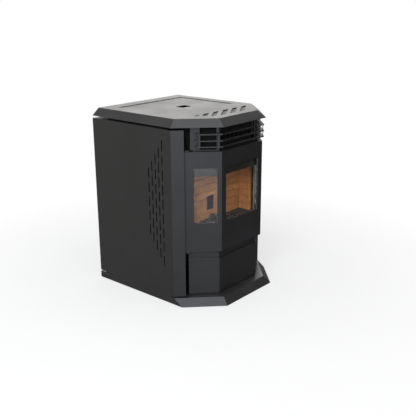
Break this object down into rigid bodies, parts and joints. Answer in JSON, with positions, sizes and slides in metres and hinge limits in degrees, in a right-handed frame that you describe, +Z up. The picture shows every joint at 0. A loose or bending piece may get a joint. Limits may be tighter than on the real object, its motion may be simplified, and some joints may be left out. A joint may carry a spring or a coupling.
{
  "type": "pellet stove",
  "caption": "Freestanding pellet stove with a bay-fronted glazed door, louvred warm-air outlet, lift-up hopper lid, ash drawer, feed auger and blowers.",
  "frame": {"origin": "on the floor, under the middle of the stove's overall footprint", "axes": "+Z up, -Y out of the door, +X to the viewer's right when facing the door"},
  "size_m": [0.6, 0.667, 0.812],
  "materials": {
    "black_coat": "satin high-temperature black paint",
    "door_coat": "satin high-temperature black paint",
    "inner_coat": "matt black heat paint, slightly sooted",
    "galvanised": "zinc-coated sheet, dull",
    "zinc_steel": "bright zinc plating",
    "stainless": "heat-tinted stainless steel",
    "cast": "rough casting with ash film",
    "brick": "moulded firebrick board, terracotta",
    "ceramic_glass": "clear heat-proof ceramic glass",
    "rope": "braided glass-fibre rope",
    "gasket_tape": "flat glass-fibre tape",
    "lid_seal": "soft black sponge",
    "motor_black": "black lacquer on laminations",
    "panel_plastic": "fine-textured black plastic",
    "button_plastic": "grey soft-touch plastic",
    "window_plastic": "smoked display window",
    "circuit": "green circuit board with parts",
    "socket_plastic": "black moulded plastic",
    "grip_metal": "black painted steel"
  },
  "bodies": {
    "cabinet": {"base_plinth": "black_coat", "leveling_feet": "zinc_steel", "left_side_panel": "black_coat", "right_side_panel": "black_coat", "back_panel": "black_coat", "rear_posts": "galvanised", "upper_frame": "black_coat", "casing_screws": "zinc_steel", "top_cover": "black_coat", "lid_hinge_fixed": "zinc_steel", "lid_gasket": "lid_seal", "hopper_bin": "galvanised", "front_frame": "black_coat", "door_jambs": "black_coat", "louvre_grille": "black_coat", "door_hinge_brackets": "grip_metal", "firebox_shell": "inner_coat", "rear_brick_panel": "brick", "side_brick_panels": "brick", "heat_exchanger": "inner_coat", "exchanger_tubes": "inner_coat", "burn_pot_holder": "inner_coat", "igniter": "stainless", "drop_chute": "stainless", "auger_tube": "galvanised", "auger_motor": "motor_black", "drawer_runners": "galvanised", "exhaust_channel": "inner_coat", "exhaust_housing": "galvanised", "exhaust_motor": "motor_black", "flue_outlet": "galvanised", "air_intake_pipe": "galvanised", "convection_housing": "galvanised", "convection_motor": "motor_black", "convection_duct": "galvanised", "control_panel": "panel_plastic", "display_window": "window_plastic", "control_board": "circuit", "power_inlet": "socket_plastic"},
    "door": {"door_frame": "door_coat", "front_glass": "ceramic_glass", "side_glasses": "ceramic_glass", "glass_gaskets": "gasket_tape", "glass_retainers": "zinc_steel", "retainer_screws": "zinc_steel", "door_gasket": "rope"},
    "door_latch": {"door_handle": "grip_metal", "latch_cam": "zinc_steel"},
    "lid": {"hopper_lid": "black_coat", "lid_hinge_moving": "zinc_steel"},
    "ash_drawer": {"ash_drawer_front": "black_coat", "ash_pan": "galvanised"},
    "pot": {"burn_pot": "cast"},
    "auger": {"auger_screw": "stainless"},
    "exhaust_fan": {"exhaust_impeller": "stainless"},
    "room_fan": {"convection_impeller": "galvanised"},
    "power_button": {"button_power": "button_plastic"},
    "down_button": {"button_down": "button_plastic"},
    "up_button": {"button_up": "button_plastic"},
    "rocker": {"power_switch": "socket_plastic"}
  },
  "joints": [
    {"name": "door_swing", "type": "hinge", "parent": "cabinet", "child": "door", "pos_m": [-0.237, -0.17361, 0.457], "axis": [0, 0, -1], "range_deg": [0, 88]},
    {"name": "latch_turn", "type": "hinge", "parent": "door", "child": "door_latch", "pos_m": [0.24237, -0.17475, 0.457], "axis": [-0.7071, 0.7071, 0], "range_deg": [0, 60]},
    {"name": "lid_swing", "type": "hinge", "parent": "cabinet", "child": "lid", "pos_m": [0.006, 0.263, 0.8075], "axis": [-1, 0, 0], "range_deg": [0, 88]},
    {"name": "drawer_slide", "type": "slide", "parent": "cabinet", "child": "ash_drawer", "axis": [0, -1, 0], "range_m": [0, 0.15]},
    {"name": "pot_lift", "type": "slide", "parent": "cabinet", "child": "pot", "axis": [0, 0, 1], "range_m": [0, 0.12]},
    {"name": "auger_turn", "type": "hinge", "parent": "cabinet", "child": "auger", "pos_m": [0, 0.14, 0.325], "axis": [0, -0.766, 0.6428], "continuous": true},
    {"name": "exhaust_fan_turn", "type": "hinge", "parent": "cabinet", "child": "exhaust_fan", "pos_m": [0.132, 0.14, 0.205], "axis": [1, 0, 0], "continuous": true},
    {"name": "room_fan_turn", "type": "hinge", "parent": "cabinet", "child": "room_fan", "pos_m": [-0.114, 0.175, 0.118], "axis": [1, 0, 0], "continuous": true},
    {"name": "power_press", "type": "slide", "parent": "cabinet", "child": "power_button", "axis": [-1, 0, 0], "range_m": [0, 0.0012], "stiffness_N_per_m": 400, "springref_m": -0.001},
    {"name": "down_press", "type": "slide", "parent": "cabinet", "child": "down_button", "axis": [-1, 0, 0], "range_m": [0, 0.0012], "stiffness_N_per_m": 400, "springref_m": -0.001},
    {"name": "up_press", "type": "slide", "parent": "cabinet", "child": "up_button", "axis": [-1, 0, 0], "range_m": [0, 0.0012], "stiffness_N_per_m": 400, "springref_m": -0.001},
    {"name": "switch_rock", "type": "hinge", "parent": "cabinet", "child": "rocker", "pos_m": [0.236, 0.289, 0.146], "axis": [1, 0, 0], "range_deg": [-8, 8]}
  ]
}
